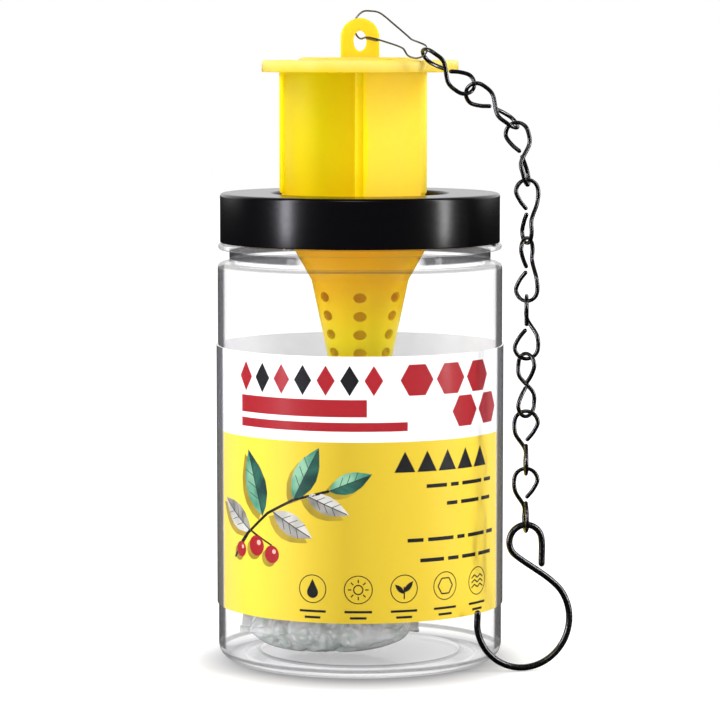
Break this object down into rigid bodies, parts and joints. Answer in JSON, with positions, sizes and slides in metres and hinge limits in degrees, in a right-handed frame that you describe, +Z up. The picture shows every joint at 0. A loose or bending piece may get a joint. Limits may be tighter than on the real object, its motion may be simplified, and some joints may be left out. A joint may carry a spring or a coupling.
{
  "type": "fly trap bottle",
  "caption": "Clear jar fly trap with a screw cap, a yellow entry funnel under a vaned roof, a bait sachet inside, and a jack chain with an S-hook to hang it by.",
  "frame": {"origin": "middle of the jar's raised base panel, on the jar's axis and level with what the jar stands on", "axes": "+Z up along the jar's axis, -Y towards the front, +X to the right, where the chain hangs"},
  "size_m": [0.1054, 0.086, 0.1934],
  "materials": {
    "clear_plastic": "clear, glossy moulded plastic",
    "label_film": "printed film, satin",
    "yellow_plastic": "translucent yellow, semi-gloss",
    "black_plastic": "glossy black",
    "sachet_film": "crumpled clear film over pale granules",
    "pin_steel": "dull steel wire",
    "black_steel": "glossy black coated wire"
  },
  "bodies": {
    "container": {"jar": "clear_plastic", "label": "label_film", "bait_sachet": "sachet_film"},
    "entry": {"funnel": "yellow_plastic"},
    "cap": {"screw_cap": "black_plastic"},
    "head": {"vanes": "yellow_plastic", "roof": "yellow_plastic"},
    "pin": {"pin_wire": "pin_steel", "pin_clasp": "pin_steel"},
    "link_1": {"chain_link_1": "black_steel"},
    "link_2": {"chain_link_2": "black_steel"},
    "link_3": {"chain_link_3": "black_steel"},
    "link_4": {"chain_link_4": "black_steel"},
    "link_5": {"chain_link_5": "black_steel"},
    "link_6": {"chain_link_6": "black_steel"},
    "link_7": {"chain_link_7": "black_steel"},
    "link_8": {"chain_link_8": "black_steel"},
    "link_9": {"chain_link_9": "black_steel"},
    "hook": {"s_hook": "black_steel"}
  },
  "joints": [
    {"name": "head_lift", "type": "slide", "parent": "container", "child": "entry", "axis": [0, 0, 1], "range_m": [0, 0.00626]},
    {"name": "cap_twist", "type": "hinge", "parent": "entry", "child": "cap", "pos_m": [0, 0, 0.13], "axis": [0, 0, 1], "range_deg": [0, 450]},
    {"name": "roof_lift", "type": "slide", "parent": "entry", "child": "head", "axis": [0, 0, 1], "range_m": [0, 0.03]},
    {"name": "pin_swing", "type": "hinge", "parent": "head", "child": "pin", "pos_m": [0, 0, 0.18425], "axis": [0, -1, 0], "range_deg": [0, 110]},
    {"name": "link_1_swing", "type": "hinge", "parent": "pin", "child": "link_1", "pos_m": [0.0188, -0.0264, 0.18152], "axis": [0, -1, 0], "range_deg": [0, 30]},
    {"name": "link_2_sway", "type": "hinge", "parent": "link_1", "child": "link_2", "pos_m": [0.03188, -0.02749, 0.17045], "axis": [-1, 0, 0], "range_deg": [0, 20]},
    {"name": "link_3_swing", "type": "hinge", "parent": "link_2", "child": "link_3", "pos_m": [0.04517, -0.02807, 0.16002], "axis": [0, -1, 0], "range_deg": [0, 30]},
    {"name": "link_4_sway", "type": "hinge", "parent": "link_3", "child": "link_4", "pos_m": [0.04851, -0.02851, 0.14345], "axis": [-1, 0, 0], "range_deg": [0, 20]},
    {"name": "link_5_swing", "type": "hinge", "parent": "link_4", "child": "link_5", "pos_m": [0.04843, -0.0285, 0.12658], "axis": [0, -1, 0], "range_deg": [0, 30]},
    {"name": "link_6_sway", "type": "hinge", "parent": "link_5", "child": "link_6", "pos_m": [0.04843, -0.0285, 0.10972], "axis": [-1, 0, 0], "range_deg": [0, 20]},
    {"name": "link_7_swing", "type": "hinge", "parent": "link_6", "child": "link_7", "pos_m": [0.04843, -0.0285, 0.09286], "axis": [0, -1, 0], "range_deg": [0, 30]},
    {"name": "link_8_sway", "type": "hinge", "parent": "link_7", "child": "link_8", "pos_m": [0.04843, -0.0285, 0.076], "axis": [-1, 0, 0], "range_deg": [0, 20]},
    {"name": "link_9_swing", "type": "hinge", "parent": "link_8", "child": "link_9", "pos_m": [0.04843, -0.0285, 0.05914], "axis": [0, -1, 0], "range_deg": [0, 30]},
    {"name": "hook_sway", "type": "hinge", "parent": "link_9", "child": "hook", "pos_m": [0.04843, -0.0285, 0.04245], "axis": [-1, 0, 0], "range_deg": [0, 20]}
  ],
  "couplings": [
    {"joint": "head_lift", "follows": "cap_twist", "m_per_rad": 0.00079577}
  ]
}
